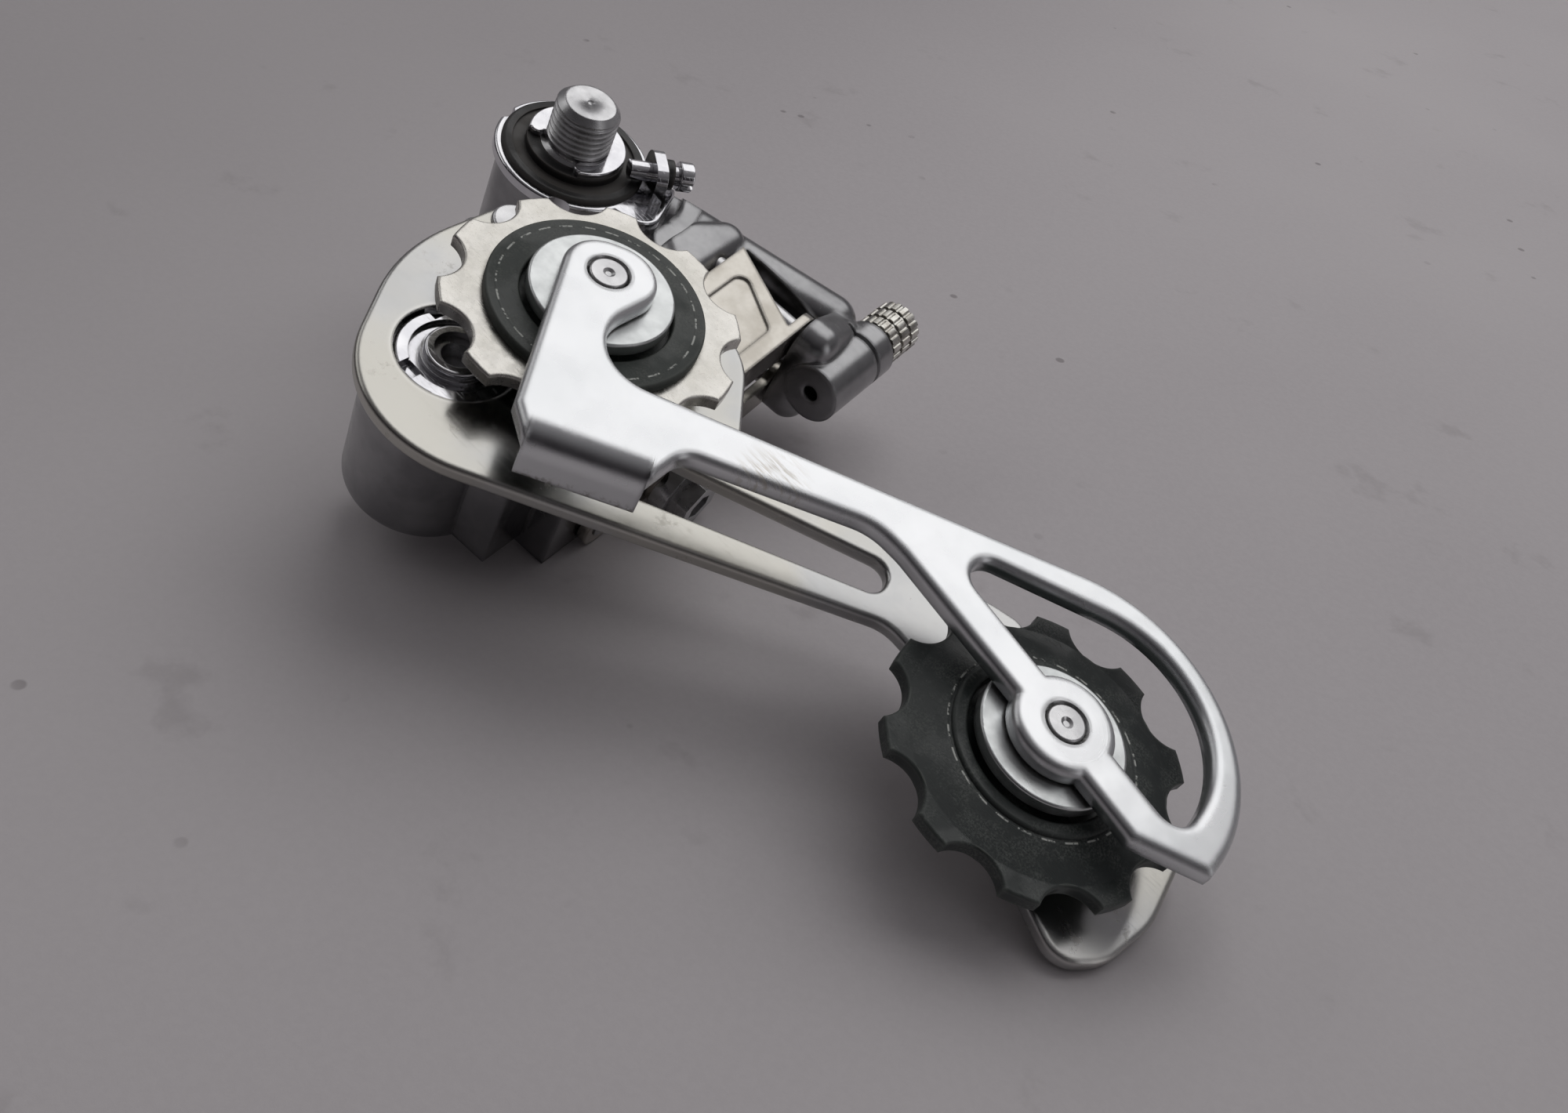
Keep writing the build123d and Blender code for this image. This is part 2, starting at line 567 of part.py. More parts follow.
def pins_p():
    x0, x1 = LINK_X0 - 0.2, LINK_X1 + 0.2
    parts = [slant(rod_x(PIN_R, x0, x1, PIN_P_Y, z - PIN_DROP)) for z in (PIN_IN_Z, PIN_OUT_Z)]
    return Compound(children=parts)


def return_spring():
    body = Rot(0, 90, 0) * coil(2.9, 0.45, 0.0, 7, 1.0)
    mid = (LINK_X0 + LINK_X1) / 2
    return slant(Pos(mid - 4.0, PIN_B_Y, PIN_OUT_Z) * body)


# ---------------------------------------------------------------- write the parts
save(mounting_bolt(), "mounting_bolt")
save(retaining_clip(), "retaining_clip")
save(dust_cap(), "dust_cap")
save(stop_plate(), "stop_plate")
save(b_tension_screw(), "b_tension_screw")
save(screw_sleeve(), "screw_sleeve")
save(b_knuckle(), "b_knuckle")
save(b_spring(), "b_spring")
save(pins_b((PIN_IN_Z, PIN_OUT_Z)), "upper_link_pins")
save(limit_screw(LIMIT_Z[0]), "high_limit_screw")
save(limit_screw(LIMIT_Z[1]), "low_limit_screw")
save(barrel_adjuster(), "barrel_adjuster")
save(return_spring(), "return_spring")
save(inner_link(), "inner_link")
save(outer_link(), "outer_link")
save(anchor_bolt(), "cable_anchor_bolt")
save(anchor_washer(), "cable_anchor_washer")
save(anchor_nut(), "cable_anchor_nut")
save(pins_p(), "lower_link_pins")
save(p_knuckle(), "p_knuckle")
save(pivot_axle(), "pivot_axle")
save(cage_spring(), "cage_spring")
save(spring_retainer(), "spring_retainer")
save(cage(outer_plate()), "outer_cage_plate")
save(cage(inner_plate()), "inner_cage_plate")
save(cage(stop_pin()), "cage_stop_pin")
save(cage(Compound(children=[axle_bolt(0.0), axle_bolt(AXLE_SPACING)])), "pulley_bolts")
save(cage(bushing(0.0)), "guide_bushing")
save(cage(bushing(AXLE_SPACING)), "tension_bushing")
save(cage(Compound(children=[cap(0.0, False), cap(0.0, True)])), "guide_dust_caps")
save(cage(Compound(children=[cap(AXLE_SPACING, False), cap(AXLE_SPACING, True)])), "tension_dust_caps")
save(cage(guide_hub()), "guide_pulley_hub")
save(cage(guide_ring(17.5)), "guide_tooth_ring")
save(cage(Pos(AXLE_SPACING, 0, 0) * tension_wheel(11.5)), "tension_pulley")
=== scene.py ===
import json
from math import atan2, cos, hypot, pi, sin

import bmesh
import bpy
from mathutils import Matrix, Vector


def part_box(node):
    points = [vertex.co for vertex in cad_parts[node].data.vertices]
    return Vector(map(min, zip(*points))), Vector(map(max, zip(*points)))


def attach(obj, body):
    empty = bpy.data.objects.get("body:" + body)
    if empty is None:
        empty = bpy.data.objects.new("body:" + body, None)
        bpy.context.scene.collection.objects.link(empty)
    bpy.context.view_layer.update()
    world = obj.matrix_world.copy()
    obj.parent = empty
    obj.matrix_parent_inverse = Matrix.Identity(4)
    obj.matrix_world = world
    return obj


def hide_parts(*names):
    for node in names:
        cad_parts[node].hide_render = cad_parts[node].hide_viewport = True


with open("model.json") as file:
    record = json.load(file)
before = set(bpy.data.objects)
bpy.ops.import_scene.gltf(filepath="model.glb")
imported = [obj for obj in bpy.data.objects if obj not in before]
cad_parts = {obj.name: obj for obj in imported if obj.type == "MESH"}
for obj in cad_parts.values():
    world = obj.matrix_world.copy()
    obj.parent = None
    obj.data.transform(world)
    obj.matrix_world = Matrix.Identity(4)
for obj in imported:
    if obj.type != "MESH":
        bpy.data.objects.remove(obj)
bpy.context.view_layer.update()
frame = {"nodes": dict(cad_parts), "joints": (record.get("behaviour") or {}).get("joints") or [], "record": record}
NODES = frame["nodes"]

MM = 0.001
# where the marks sit, in millimetres from the axis they go round
HUB_RING_R = 13.1
WHEEL_RING_R = 12.45
TURNED_R = 5.2
AXLE_BOLT_R = 2.5
RUB_FROM_GUIDE = (34.5, -5.6, 0)
FLANGE_BEND, FLANGE_PITS = 2.6, 5.2


# ---------------------------------------------------------------- places read from the frame
def joint(name):
    return next(j for j in frame["joints"] if j["name"] == name)


def middle(node):
    low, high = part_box(node)
    return (low + high) / 2


GUIDE = Vector(joint("guide_pulley_spin")["pos_m"])
TENSION = Vector(joint("tension_pulley_spin")["pos_m"])
PLATE_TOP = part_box("inner_cage_plate")[1].z


# ---------------------------------------------------------------- node helpers
class Shader:
    """A principled material with short calls for the nodes it needs."""

    def __init__(self, name, metallic=1.0):
        self.mat = bpy.data.materials.new(name)
        self.mat.use_nodes = True
        self.tree = self.mat.node_tree
        self.tree.nodes.clear()
        out = self.node("OutputMaterial")
        self.bsdf = self.node("BsdfPrincipled")
        self.bsdf.inputs["Metallic"].default_value = metallic
        self.link(self.bsdf.outputs["BSDF"], out.inputs["Surface"])
        self.where = self.node("TexCoord").outputs["Object"]
        self.height = None

    def node(self, kind):
        return self.tree.nodes.new("ShaderNode" + kind)

    def link(self, a, b):
        self.tree.links.new(a, b)

    def feed(self, value, socket):
        if hasattr(value, "is_linked"):
            self.link(value, socket)
        elif isinstance(value, (tuple, list)) and len(value) == 3 and socket.type == "RGBA":
            socket.default_value = (*value, 1.0)
        else:
            socket.default_value = value

    def math(self, kind, a, b=0.0, clamp=False):
        n = self.node("Math")
        n.operation = kind
        n.use_clamp = clamp
        self.feed(a, n.inputs[0])
        self.feed(b, n.inputs[1])
        return n.outputs[0]

    def add(self, a, b):
        return self.math("ADD", a, b)

    def times(self, a, b):
        return self.math("MULTIPLY", a, b)

    def span(self, value, low, high, out_low=0.0, out_high=1.0):
        n = self.node("MapRange")
        n.interpolation_type = "SMOOTHSTEP"
        self.feed(value, n.inputs["Value"])
        n.inputs["From Min"].default_value = low
        n.inputs["From Max"].default_value = high
        n.inputs["To Min"].default_value = out_low
        n.inputs["To Max"].default_value = out_high
        return n.outputs["Result"]

    def mix(self, share, a, b):
        n = self.node("Mix")
        n.data_type = "RGBA"
        self.feed(share, n.inputs[0])
        self.feed(a, n.inputs[6])
        self.feed(b, n.inputs[7])
        return n.outputs[2]

    def stretch(self, scale, turn=(0, 0, 0), centre=(0, 0, 0)):
        moved = self.node("Mapping")
        moved.inputs["Location"].default_value = [-c for c in centre]
        self.link(self.where, moved.inputs["Vector"])
        n = self.node("Mapping")
        n.inputs["Rotation"].default_value = turn
        n.inputs["Scale"].default_value = scale
        self.link(moved.outputs[0], n.inputs["Vector"])
        return n.outputs[0]

    def noise(self, scale, detail=3.0, rough=0.5, at=None, distortion=0.0):
        n = self.node("TexNoise")
        n.inputs["Scale"].default_value = scale
        n.inputs["Detail"].default_value = detail
        n.inputs["Roughness"].default_value = rough
        n.inputs["Distortion"].default_value = distortion
        self.link(at or self.where, n.inputs["Vector"])
        return n.outputs["Fac"]

    def cells(self, scale, at=None):
        n = self.node("TexVoronoi")
        n.inputs["Scale"].default_value = scale
        self.link(at or self.where, n.inputs["Vector"])
        return n.outputs["Distance"]

    def scratches(self, turns, length=3.0, width=0.035, keep=0.64):
        # thin straight lines: noise drawn out along one direction, cut to its peaks
        total = None
        for k, turn in enumerate(turns):
            at = self.stretch((1 / (length * MM), 1 / (width * 6 * MM), 120 + 31 * k),
                              (0, 0, turn), (k * 0.013, k * 0.007, 0))
            lines = self.span(self.noise(1.0, 2.0, 0.6, at), keep, keep + 0.05)
            total = lines if total is None else self.math("MAXIMUM", total, lines)
        return total

    def polar(self, centre):
        # distance from an axis along Z, and the angle round it
        moved = self.stretch((1, 1, 1), (0, 0, 0), centre)
        parts = self.node("SeparateXYZ")
        self.link(moved, parts.inputs[0])
        x, y = parts.outputs[0], parts.outputs[1]
        radius = self.math("SQRT", self.add(self.times(x, x), self.times(y, y)))
        return radius, self.math("ARCTAN2", y, x)

    def band(self, value, low, high, edge):
        rise = self.span(value, low - edge, low + edge)
        fall = self.span(value, high - edge, high + edge, 1.0, 0.0)
        return self.times(rise, fall)

    def occlusion(self, distance, inside=False, samples=6):
        n = self.node("AmbientOcclusion")
        n.inside = inside
        n.samples = samples
        n.only_local = inside
        n.inputs["Distance"].default_value = distance
        return n.outputs["AO"]

    def rounded(self, radius):
        n = self.node("Bevel")
        n.samples = 4
        n.inputs["Radius"].default_value = radius
        return n.outputs["Normal"]

    def bump(self, height, distance, strength=1.0, radius=0.0):
        n = self.node("Bump")
        n.inputs["Strength"].default_value = strength
        n.inputs["Distance"].default_value = distance
        self.feed(height, n.inputs["Height"])
        if radius:
            self.link(self.rounded(radius), n.inputs["Normal"])
        self.link(n.outputs["Normal"], self.bsdf.inputs["Normal"])

    def finish(self, colour, roughness, **plain):
        self.feed(colour, self.bsdf.inputs["Base Color"])
        self.feed(roughness, self.bsdf.inputs["Roughness"])
        for key, value in plain.items():
            self.bsdf.inputs[key.replace("_", " ").title().replace("Ior", "IOR")].default_value = value
        return self.mat


# dark brown for dirt, also used as painted shade in crevices
DIRT_AND_SHADE = (0.045, 0.035, 0.026)


def metal(name, light, dark, rough, patch=140, grime_and_shade=0.6, reach=0.9, scratch=0.5, edge=0.12):
    """Plated or cast metal: two tones in patches, painted shade in the dirt colour in its corners from occlusion,
    fine scratches.
    """
    s = Shader(name)
    tone = s.span(s.noise(patch, 4.0, 0.6), 0.38, 0.62)
    lines = s.scratches((0.3, 1.2, 2.3))
    # painted shade: occlusion darkens corners and crevices toward the dirt colour, speckled with noise
    crevice_shade = s.span(s.occlusion(reach * MM), 0.35, 0.85, grime_and_shade, 0.0)
    speckle = s.span(s.noise(2600, 2.0, 0.6), 0.45, 0.62)
    dirt_and_shade = s.times(crevice_shade, s.span(speckle, 0.0, 1.0, 0.6, 1.0))
    colour = s.mix(dirt_and_shade, s.mix(tone, dark, light), DIRT_AND_SHADE)
    rough_map = s.add(s.span(s.noise(420, 5.0, 0.65), 0.3, 0.7, rough * 0.8, rough * 1.25),
                      s.times(dirt_and_shade, 0.4))
    height = s.add(s.times(s.noise(5200, 2.0, 0.5), 0.25), s.times(lines, -scratch))
    s.bump(height, 0.012 * MM, 0.5, edge * MM)
    return s.finish(colour, rough_map)


def satin_plate():
    """The inboard cage plate: bright satin, lightly scuffed, with turning marks round its boss."""
    s = Shader("satin_plate")
    tone = s.span(s.noise(45, 3.0, 0.5), 0.35, 0.65)
    base = s.mix(tone, (0.69, 0.705, 0.72), (0.76, 0.77, 0.785))
    radius, _ = s.polar(TENSION)
    ring = s.span(radius, TURNED_R * MM, (TURNED_R + 1.2) * MM, 1.0, 0.0)
    turned = s.node("TexNoise")
    turned.noise_dimensions = "1D"
    turned.inputs["Scale"].default_value = 5200
    turned.inputs["Detail"].default_value = 2
    s.link(radius, turned.inputs["W"])
    lines = s.scratches((0.2, 0.55, 2.5), 9.0, 0.02, 0.68)
    bolt_dirt = None
    for axis in (GUIDE, TENSION):
        r, _ = s.polar(axis)
        near = s.band(r, (AXLE_BOLT_R - 0.2) * MM, (AXLE_BOLT_R + 0.35) * MM, 0.18 * MM)
        bolt_dirt = near if bolt_dirt is None else s.math("MAXIMUM", bolt_dirt, near)
    # painted shade: occlusion darkens crevices toward the dirt colour; the ring round each axle bolt is real grime
    crevice_shade = s.span(s.occlusion(1.0 * MM), 0.35, 0.85, 0.6, 0.0)
    dirt_and_shade = s.math("MAXIMUM", crevice_shade, s.times(bolt_dirt, 0.8))
    dirt_and_shade = s.times(dirt_and_shade, s.span(s.noise(1800, 3.0, 0.6), 0.35, 0.6, 0.5, 1.0))
    # the flange under the plate is brighter polished and pitted along its lower edge
    parts = s.node("SeparateXYZ")
    s.link(s.where, parts.inputs[0])
    bend, pitted = PLATE_TOP - FLANGE_BEND * MM, PLATE_TOP - FLANGE_PITS * MM
    below = s.span(parts.outputs[2], bend - 1.4 * MM, bend, 1.0, 0.0)
    low = s.span(parts.outputs[2], pitted - 2.0 * MM, pitted, 1.0, 0.0)
    pits = s.times(low, s.span(s.noise(1500, 5.0, 0.7), 0.5, 0.58))
    # a rubbed patch on the bar's lower edge
    rub, _ = s.polar(GUIDE + Vector(RUB_FROM_GUIDE) * MM)
    streaks = s.stretch((1 / (4.0 * MM), 1 / (0.45 * MM), 300), (0, 0, 0.14))
    rubbed = s.times(s.span(rub, 1.6 * MM, 6.0 * MM, 1.0, 0.0),
                     s.span(s.noise(1.0, 4.0, 0.6, streaks), 0.46, 0.62))
    colour = s.mix(dirt_and_shade, base, DIRT_AND_SHADE)
    colour = s.mix(s.times(rubbed, 0.55), colour, (0.55, 0.50, 0.42))
    colour = s.mix(s.times(pits, 0.7), colour, (0.20, 0.17, 0.13))
    rough = s.span(s.noise(170, 3.0, 0.55), 0.3, 0.7, 0.19, 0.29)
    rough = s.add(s.times(rough, s.span(below, 0.0, 1.0, 1.0, 0.45)), s.times(rubbed, 0.2))
    height = s.add(s.times(s.noise(240, 2.0, 0.5), 1.1), s.times(lines, -0.16))
    height = s.add(height, s.times(s.times(turned.outputs["Fac"], ring), 1.4))
    height = s.add(height, s.times(s.math("MAXIMUM", rubbed, pits), -0.8))
    s.bump(height, 0.012 * MM, 0.5, 1.0 * MM)
    return s.finish(colour, rough)


def worn_plate():
    """The outboard cage plate: satin metal with a warm tarnish, a rubbed rim painted lighter as a highlight, and
    painted shade in its crevices.
    """
    s = Shader("worn_plate")
    cloud = s.span(s.noise(90, 4.0, 0.55, distortion=0.4), 0.35, 0.68)
    stain = s.span(s.noise(300, 5.0, 0.7), 0.6, 0.7)
    warm = s.span(s.noise(40, 3.0, 0.5), 0.42, 0.6)
    base = s.mix(cloud, (0.44, 0.445, 0.45), (0.54, 0.54, 0.535))
    base = s.mix(s.times(warm, 0.6), base, (0.54, 0.52, 0.455))
    base = s.mix(s.times(stain, 0.2), base, (0.34, 0.31, 0.26))
    # painted highlight: convex edges found by occlusion are painted lighter, for the bright rim as well as rubbed
    # wear
    rim = s.span(s.occlusion(0.9 * MM, True), 0.55, 0.95, 0.6, 0.0)
    base = s.mix(rim, base, (0.74, 0.73, 0.70))
    # painted shade: occlusion darkens crevices toward the dirt colour
    crevice_shade = s.span(s.occlusion(1.2 * MM), 0.35, 0.85, 0.75, 0.0)
    dirt_and_shade = s.times(crevice_shade, s.span(s.noise(1500, 3.0, 0.6), 0.35, 0.6, 0.4, 1.0))
    lines = s.scratches((0.5, 0.75, 2.0), 7.0, 0.025, 0.66)
    rough = s.add(s.span(cloud, 0.0, 1.0, 0.16, 0.26), s.times(stain, 0.1))
    height = s.add(s.times(s.noise(260, 3.0, 0.5), 1.3), s.times(lines, -0.3))
    height = s.add(height, s.times(stain, -0.15))
    s.bump(height, 0.012 * MM, 0.5, 0.5 * MM)
    return s.finish(s.mix(dirt_and_shade, base, DIRT_AND_SHADE), rough)


def plastic(name, base, dust, rough, dust_share, centre=None, ring_r=0.0):
    """Moulded plastic with dust in patches, painted shade in its corners, and rubbed edges painted lighter as
    highlights.
    """
    s = Shader(name, 0.0)
    cloud = s.span(s.noise(260, 5.0, 0.65), 0.42, 0.62)
    smear = s.span(s.noise(120, 3.0, 0.5), 0.42, 0.6)
    fine = s.span(s.noise(3800, 3.0, 0.6), 0.4, 0.65)
    # painted highlight: convex edges found by occlusion are painted toward the dust colour, for rubbed wear and a
    # rim highlight; mixed with the dust below
    edge = s.span(s.occlusion(0.7 * MM, True), 0.55, 0.95, 0.9, 0.0)
    # painted shade: occlusion darkens corners to a darker copy of the base colour
    crevice_shade = s.span(s.occlusion(1.6 * MM), 0.35, 0.9, 0.85, 0.0)
    share = s.math("MAXIMUM", s.times(s.times(cloud, fine), dust_share), s.times(edge, 0.7))
    colour = s.mix(share, base, dust)
    colour = s.mix(s.times(crevice_shade, 0.6), colour, [b * 0.35 for b in base])
    raised = 0.0
    if ring_r:
        radius, angle = s.polar(centre)
        # painted highlight: light dashes on the raised ring, for worn ring tops and the bright arcs they catch
        on_ring = s.band(radius, ring_r - 0.12 * MM, ring_r + 0.12 * MM, 0.06 * MM)
        dash = s.span(s.math("SINE", s.times(angle, 26.0)), -0.35, -0.1)
        worn_and_highlight = s.span(s.noise(1400, 4.0, 0.7), 0.4, 0.52)
        colour = s.mix(s.times(s.times(on_ring, dash), worn_and_highlight), colour, (0.62, 0.64, 0.60))
        raised = s.times(on_ring, 1.6)
    rough_map = s.add(s.span(smear, 0.0, 1.0, rough, rough + 0.2), s.times(share, 0.25))
    height = s.add(s.noise(2600, 4.0, 0.6), s.times(s.scratches((0.4, 1.7), 2.0, 0.05), -0.6))
    s.bump(s.add(height, raised), 0.02 * MM, 0.7, 0.3 * MM)
    return s.finish(colour, rough_map, specular_ior_level=0.45)


def tooth_metal():
    """The guide pulley's pressed ring: dull warm metal, rubbed by the chain."""
    s = Shader("tooth_metal")
    radius, _ = s.polar(GUIDE)
    tone = s.span(s.noise(150, 4.0, 0.55), 0.36, 0.66)
    base = s.mix(tone, (0.56, 0.545, 0.505), (0.63, 0.615, 0.58))
    tips = s.span(radius, 17.0 * MM, 19.5 * MM)
    base = s.mix(s.times(tips, 0.35), base, (0.74, 0.72, 0.68))
    # painted shade: occlusion darkens the ring's hollows toward the dirt colour
    dirt_and_shade = s.span(s.occlusion(0.8 * MM), 0.35, 0.85, 0.7, 0.0)
    pits = s.span(s.noise(3000, 4.0, 0.7), 0.58, 0.68)
    colour = s.mix(dirt_and_shade, base, DIRT_AND_SHADE)
    colour = s.mix(s.times(pits, 0.25), colour, (0.24, 0.21, 0.17))
    rough = s.span(s.noise(700, 4.0, 0.6), 0.3, 0.7, 0.22, 0.34)
    height = s.add(s.times(s.noise(420, 3.0, 0.55), 0.9), s.times(pits, -0.3))
    height = s.add(height, s.times(s.scratches((0.1, 0.9, 1.9), 4.0, 0.03), -0.5))
    s.bump(height, 0.014 * MM, 0.5, 0.35 * MM)
    return s.finish(colour, rough)


def paint_nodes():
    zinc = metal("zinc_steel", (0.66, 0.66, 0.67), (0.5, 0.5, 0.51), 0.3)
    chrome = metal("chrome_trim", (0.80, 0.80, 0.82), (0.66, 0.66, 0.69), 0.1, grime_and_shade=0.5)
    alloy = metal("polished_alloy", (0.345, 0.345, 0.352), (0.25, 0.25, 0.258), 0.22, 70, 0.5,
                  edge=1.0)
    nickel = metal("nickel_steel", (0.56, 0.535, 0.49), (0.44, 0.415, 0.37), 0.2, 110, 0.7, edge=0.8)
    knurl = metal("nickel_knurl", (0.68, 0.67, 0.63), (0.46, 0.44, 0.40), 0.24, 500, 0.9, 0.6)
    wire = metal("spring_wire", (0.22, 0.22, 0.23), (0.12, 0.12, 0.12), 0.35)
    satin = metal("satin_steel", (0.68, 0.70, 0.70), (0.58, 0.60, 0.60), 0.34, 200, 0.6)
    black = plastic("black_plastic", (0.018, 0.018, 0.019), (0.14, 0.13, 0.12), 0.32, 0.25)
    hub = plastic("hub_plastic", (0.040, 0.050, 0.045), (0.20, 0.21, 0.19), 0.38, 0.35,
                  GUIDE, HUB_RING_R * MM)
    wheel = plastic("wheel_plastic", (0.024, 0.031, 0.030), (0.17, 0.185, 0.17), 0.30, 0.5,
                    TENSION, WHEEL_RING_R * MM)
    slots = {
        "zinc_steel": zinc, "chrome_trim": chrome, "polished_alloy": alloy,
        "nickel_steel": nickel, "nickel_brass": knurl, "spring_steel": wire,
        "satin_steel": satin, "black_plastic": black, "pulley_plastic": hub,
        "sintered_ring": tooth_metal(), "satin_alloy": satin_plate(), "worn_alloy": worn_plate(),
    }
    for sub in frame["record"]["subparts"]:
        piece = NODES[sub["node"]]
        piece.data.materials.clear()
        piece.data.materials.append(slots[sub["material_slot"]])
    NODES["tension_pulley"].data.materials.clear()
    NODES["tension_pulley"].data.materials.append(wheel)
    return slots


# ---------------------------------------------------------------- new pieces
def mesh_piece(name, verts, faces, material, body):
    data = bpy.data.meshes.new(name)
    data.from_pydata([tuple(v) for v in verts], [], faces)
    data.update()
    piece = bpy.data.objects.new(name, data)
    bpy.context.scene.collection.objects.link(piece)
    data.materials.append(material)
    for face in data.polygons:
        face.use_smooth = True
    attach(piece, body)
    return piece


def lathe(profile, steps, radius_at=None):
    """Rings about the Z axis from (radius, z) pairs; radius_at may vary each ring's radius."""
    verts, faces = [], []
    for r, z in profile:
        for k in range(steps):
            a = 2 * pi * k / steps
            rr = radius_at(r, z, a) if radius_at else r
            verts.append((rr * cos(a), rr * sin(a), z))
    for ring in range(len(profile) - 1):
        for k in range(steps):
            n = (k + 1) % steps
            low, high = ring * steps, (ring + 1) * steps
            faces.append((low + k, low + n, high + n, high + k))
    return verts, faces


THREAD_PITCH, THREAD_DEPTH = 1.0, 0.58
MAJOR_R, THREAD_TIP = 5.0, 1.1
SHANK_R, GROOVE_R, GROOVE_LOW = 5.6, 4.6, -1.2
HEAD_R, HEAD_UNDER = 8.0, -20.0
SOCKET_R, SOCKET_DEEP = 3.46, 3.4


def hanger_bolt(material):
    low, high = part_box("mounting_bolt")
    major, tip, top, head_z = MAJOR_R, THREAD_TIP, high.z / MM, low.z / MM
    start, fade = 0.0, 0.6

    def thread_radius(r, z, a):
        if not start <= z <= top - 0.02 or r < major - THREAD_DEPTH - tip:
            return r
        phase = (z / THREAD_PITCH - a / (2 * pi)) % 1.0
        saw = abs(2 * phase - 1)
        cut = THREAD_DEPTH * max(0.0, min(1.0, 1.25 * saw - 0.12))
        grow = min(1.0, (z - start) / fade, max(0.0, (top - tip * 0.7 - z) / fade))
        return min(r, major - cut * grow)

    profile = [(0.0, head_z + SOCKET_DEEP), (SOCKET_R, head_z + SOCKET_DEEP)]
    profile += [(SOCKET_R, head_z + 0.3), (SOCKET_R + 0.44, head_z)]
    profile += [(HEAD_R - 0.6, head_z), (HEAD_R, head_z + 0.6), (HEAD_R, HEAD_UNDER)]
    profile += [(SHANK_R, HEAD_UNDER), (SHANK_R, GROOVE_LOW)]
    profile += [(GROOVE_R, GROOVE_LOW), (GROOVE_R, -0.05)]
    rows = 120
    for k in range(rows + 1):
        z = start + (top - start) * k / rows
        r = major if z < top - tip else major - (z - top + tip)
        profile.append((r, z))
    profile += [(major - tip - 0.35, top), (0.6, top), (0.5, top - 0.12), (0.0, top - 0.45)]
    steps = 128
    verts, faces = lathe(profile, steps, thread_radius)
    socket_rings = 4
    for k in range(socket_rings * steps):
        # the socket in the head is a hexagon
        x, y, z = verts[k]
        a = atan2(y, x)
        flat = cos(pi / 6) / cos((a % (pi / 3)) - pi / 6)
        if 0 < hypot(x, y) < SOCKET_R + 0.14:
            verts[k] = (x * flat, y * flat, z)
    verts = [Vector(v) * MM for v in verts]
    piece = mesh_piece("hanger_bolt_threaded", verts, faces, material, "hanger_mount")
    clean(piece)
    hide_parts("mounting_bolt")
    return piece


def clean(piece, merge=0.00001):
    mesh = bmesh.new()
    mesh.from_mesh(piece.data)
    bmesh.ops.remove_doubles(mesh, verts=mesh.verts, dist=merge)
    bmesh.ops.recalc_face_normals(mesh, faces=mesh.faces)
    mesh.to_mesh(piece.data)
    mesh.free()


# ---------------------------------------------------------------- floor, lights and camera
# the derailleur lies on its side, so the floor is tilted in the row frame
FLOOR_UP = Vector((-0.2752, 0.0742, 0.9585)).normalized()
FLOOR_HALF = 4.0


def floor_height():
    lowest = 1.0
    for piece in NODES.values():
        for v in piece.data.vertices:
            lowest = min(lowest, v.co.dot(FLOOR_UP))
    return lowest


def floor_material():
    s = Shader("paper", 0.0)
    wide = s.noise(5, 3.0, 0.5)
    fibre = s.noise(900, 6.0, 0.7)
    smudge = s.span(s.noise(60, 5.0, 0.6), 0.62, 0.74)
    speck = s.span(s.cells(95), 0.06, 0.1, 1.0, 0.0)
    rare = s.span(s.noise(32, 2.0, 0.5), 0.56, 0.62)
    base = s.mix(s.span(wide, 0.3, 0.7), (0.64, 0.605, 0.625), (0.71, 0.675, 0.69))
    base = s.mix(s.times(s.span(fibre, 0.35, 0.65), 0.22), base, (0.78, 0.745, 0.76))
    base = s.mix(s.times(smudge, 0.22), base, (0.32, 0.29, 0.295))
    base = s.mix(s.times(s.times(speck, rare), 0.5), base, (0.16, 0.13, 0.14))
    # the room is dimmer toward the left of the sheet
    across = s.node("SeparateXYZ")
    s.link(s.where, across.inputs[0])
    shade = s.span(across.outputs[0], -0.12, 0.05, 0.26, 0.0)
    base = s.mix(shade, base, (0.16, 0.148, 0.155))
    s.bump(s.add(fibre, s.times(s.noise(260, 3.0, 0.5), 0.6)), 0.05 * MM, 0.5)
    return s.finish(base, 0.72, specular_ior_level=0.3)


def make_floor():
    height = floor_height()
    side = FLOOR_UP.cross(Vector((0, 1, 0))).normalized()
    other = FLOOR_UP.cross(side)
    centre = middle("inner_cage_plate")
    centre = centre - FLOOR_UP * (centre.dot(FLOOR_UP) - height)
    mesh = bpy.data.meshes.new("floor")
    corners = [(-1, -1), (1, -1), (1, 1), (-1, 1)]
    mesh.from_pydata([centre + (side * a + other * b) * FLOOR_HALF for a, b in corners],
                     [], [(0, 1, 2, 3)])
    floor = bpy.data.objects.new("floor", mesh)
    bpy.context.scene.collection.objects.link(floor)
    mesh.materials.append(floor_material())


CAMERA_AT = Vector((0.11005, -0.15709, 0.14590))
CAMERA_X = Vector((0.6925, 0.6236, 0.3627)).normalized()
CAMERA_BACK = Vector((0.1925, -0.6443, 0.7401)).normalized()


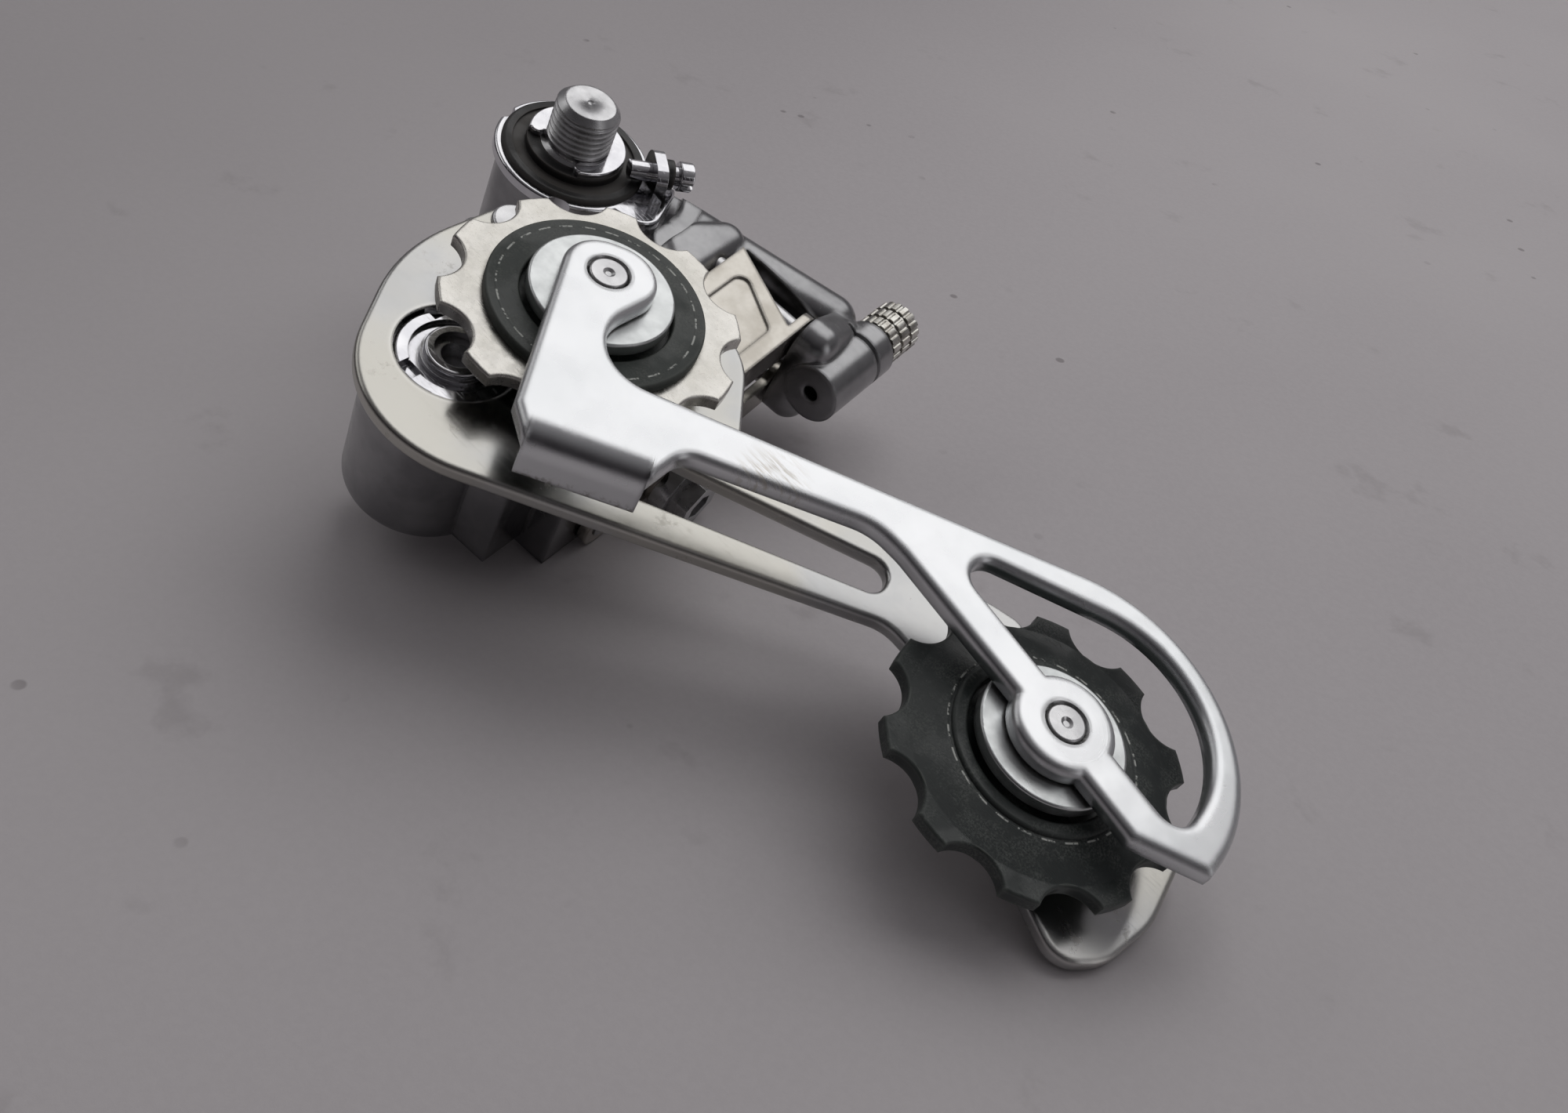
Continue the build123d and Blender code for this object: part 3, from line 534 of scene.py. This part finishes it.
def make_camera():
    data = bpy.data.cameras.new("camera")
    data.lens = 34.84
    data.sensor_width = 36.0
    data.clip_start = 0.01
    data.clip_end = 20.0
    camera = bpy.data.objects.new("camera", data)
    bpy.context.scene.collection.objects.link(camera)
    up = CAMERA_BACK.cross(CAMERA_X).normalized()
    across = up.cross(CAMERA_BACK)
    axes = Matrix((across, up, CAMERA_BACK)).transposed().to_4x4()
    camera.matrix_world = Matrix.Translation(CAMERA_AT) @ axes
    bpy.context.scene.camera = camera


def soft_box(name, direction, distance, size, power, colour=(1, 1, 1)):
    data = bpy.data.lights.new(name, "AREA")
    data.shape = "RECTANGLE"
    data.size, data.size_y = size
    data.energy = power
    data.color = colour
    light = bpy.data.objects.new(name, data)
    bpy.context.scene.collection.objects.link(light)
    away = Vector(direction).normalized()
    light.location = middle("outer_cage_plate") + away * distance
    light.rotation_mode = "QUATERNION"
    light.rotation_quaternion = away.to_track_quat("Z", "Y")


KEY_WAY = (-0.27, 0.64, 0.72)


def make_light():
    # the cage plates are level in the row frame, so the big light stands where they mirror it
    soft_box("key", KEY_WAY, 0.80, (0.80, 0.80), 1.98, (1.0, 0.995, 0.985))
    soft_box("side", (0.95, 0.15, 0.55), 0.9, (0.35, 0.5), 0.35, (1.0, 0.99, 1.0))
    soft_box("rim", (-0.88, -0.1, 0.36), 0.7, (0.6, 0.22), 0.3, (1.0, 0.995, 0.985))
    world = bpy.data.worlds.new("room")
    world.use_nodes = True
    tree = world.node_tree
    background = tree.nodes["Background"]
    way = tree.nodes.new("ShaderNodeTexCoord")
    toward = tree.nodes.new("ShaderNodeVectorMath")
    toward.operation = "DOT_PRODUCT"
    toward.inputs[1].default_value = Vector(KEY_WAY).normalized()
    tree.links.new(way.outputs["Generated"], toward.inputs[0])
    ramp = tree.nodes.new("ShaderNodeValToRGB")
    ramp.color_ramp.elements[0].position = 0.0
    ramp.color_ramp.elements[0].color = (0.022, 0.020, 0.022, 1)
    ramp.color_ramp.elements[1].position = 0.9
    ramp.color_ramp.elements[1].color = (0.23, 0.223, 0.23, 1)
    tree.links.new(toward.outputs["Value"], ramp.inputs[0])
    tree.links.new(ramp.outputs[0], background.inputs[0])
    bpy.context.scene.world = world
    bpy.context.scene.view_settings.view_transform = "Standard"
    bpy.context.scene.view_settings.look = "None"


slots = paint_nodes()
hanger_bolt(slots["zinc_steel"])
make_floor()
make_camera()
make_light()
